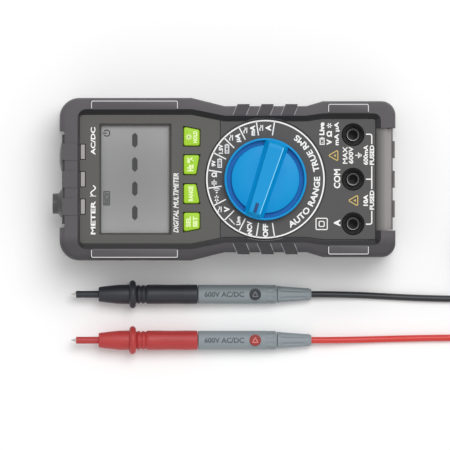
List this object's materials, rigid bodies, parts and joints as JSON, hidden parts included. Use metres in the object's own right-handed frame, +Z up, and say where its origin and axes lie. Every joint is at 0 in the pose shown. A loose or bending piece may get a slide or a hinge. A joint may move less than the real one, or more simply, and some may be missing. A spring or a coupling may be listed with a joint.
{
  "type": "handheld digital multimeter",
  "caption": "Handheld digital multimeter in a rubber holster, with a turning selector, soft keys, input jacks, a fold-out stand and a pair of test leads laid beside it.",
  "frame": {"origin": "on the surface that the meter lies on, under the middle of its length and width", "axes": "+X from the display end to the jack end, +Y across, to the side of the voltage jack, +Z up out of the front panel"},
  "size_m": [0.263, 0.1098, 0.0385],
  "materials": {
    "holster_rubber": "matte",
    "case_plastic": "matte",
    "panel": "matte",
    "window": "clear",
    "lcd": "satin",
    "clear_plastic": "satin",
    "keys": "satin",
    "inner_rubber": "matte",
    "knob": "satin",
    "black_plastic": "satin",
    "nickel": "polished",
    "board": "satin",
    "ceramic": "satin",
    "cells": "satin",
    "steel": "brushed",
    "grip_plastic": "matte",
    "red_plastic": "satin",
    "red_cord": "satin",
    "black_cord": "satin",
    "brass": "polished"
  },
  "bodies": {
    "housing": {"front_case": "case_plastic", "rear_case": "case_plastic", "battery_cover": "case_plastic", "torch_bezel": "case_plastic", "sensor_cover": "case_plastic", "holster": "holster_rubber", "display_bezel": "panel", "jack_panel": "panel", "dial_plate": "panel", "display_window": "window", "torch_lens": "window", "lcd_glass": "lcd", "backlight": "clear_plastic", "light_guide": "clear_plastic", "keypad": "inner_rubber", "jack_shroud_volt": "black_plastic", "jack_sleeve_volt": "nickel", "jack_shroud_common": "black_plastic", "jack_sleeve_common": "nickel", "jack_shroud_amp": "black_plastic", "jack_sleeve_amp": "nickel", "main_board": "board", "fuse_10a": "ceramic", "fuse_ma": "ceramic", "buzzer": "black_plastic", "battery_1": "cells", "battery_2": "cells", "battery_cover_screw": "steel", "case_screw_1": "steel", "case_screw_2": "steel", "case_screw_3": "steel", "case_screw_4": "steel"},
    "selector": {"selector_knob": "knob", "selector_rotor": "black_plastic"},
    "light_key": {"key_light": "keys"},
    "hertz_key": {"key_hertz": "keys"},
    "range_key": {"key_range": "keys"},
    "select_key": {"key_select": "keys"},
    "stand": {"tilt_stand": "case_plastic"},
    "black_lead": {"black_probe_tip": "nickel", "black_probe_barrel": "black_plastic", "black_probe_handle": "grip_plastic", "black_probe_badge": "black_plastic", "black_strain_relief": "grip_plastic", "black_cord": "black_cord", "black_cord_coil": "black_cord", "black_plug_boot": "grip_plastic", "black_plug_body": "black_plastic", "black_plug_pin": "brass"},
    "red_lead": {"red_probe_tip": "nickel", "red_probe_barrel": "red_plastic", "red_probe_handle": "grip_plastic", "red_probe_badge": "red_plastic", "red_strain_relief": "grip_plastic", "red_cord": "red_cord", "red_cord_coil": "red_cord", "red_plug_boot": "grip_plastic", "red_plug_body": "red_plastic", "red_plug_pin": "brass"}
  },
  "joints": [
    {"name": "selector_turn", "type": "hinge", "parent": "housing", "child": "selector", "pos_m": [0.0162, 0, 0.0313], "axis": [0, 0, 1], "range_deg": [-162, 18]},
    {"name": "light_key_press", "type": "slide", "parent": "housing", "child": "light_key", "axis": [0, 0, -1], "range_m": [0, 0.0008], "stiffness_N_per_m": 800, "springref_m": -0.0003},
    {"name": "hertz_key_press", "type": "slide", "parent": "housing", "child": "hertz_key", "axis": [0, 0, -1], "range_m": [0, 0.0008], "stiffness_N_per_m": 800, "springref_m": -0.0003},
    {"name": "range_key_press", "type": "slide", "parent": "housing", "child": "range_key", "axis": [0, 0, -1], "range_m": [0, 0.0008], "stiffness_N_per_m": 800, "springref_m": -0.0003},
    {"name": "select_key_press", "type": "slide", "parent": "housing", "child": "select_key", "axis": [0, 0, -1], "range_m": [0, 0.0008], "stiffness_N_per_m": 800, "springref_m": -0.0003},
    {"name": "stand_hinge", "type": "hinge", "parent": "housing", "child": "stand", "pos_m": [-0.056, 0, 0.0016], "axis": [0, 1, 0], "range_deg": [0, 70]},
    {"name": "black_lead_lift", "type": "slide", "parent": "housing", "child": "black_lead", "axis": [0, 0, 1], "range_m": [0, 0.06]},
    {"name": "red_lead_lift", "type": "slide", "parent": "housing", "child": "red_lead", "axis": [0, 0, 1], "range_m": [0, 0.06]}
  ]
}
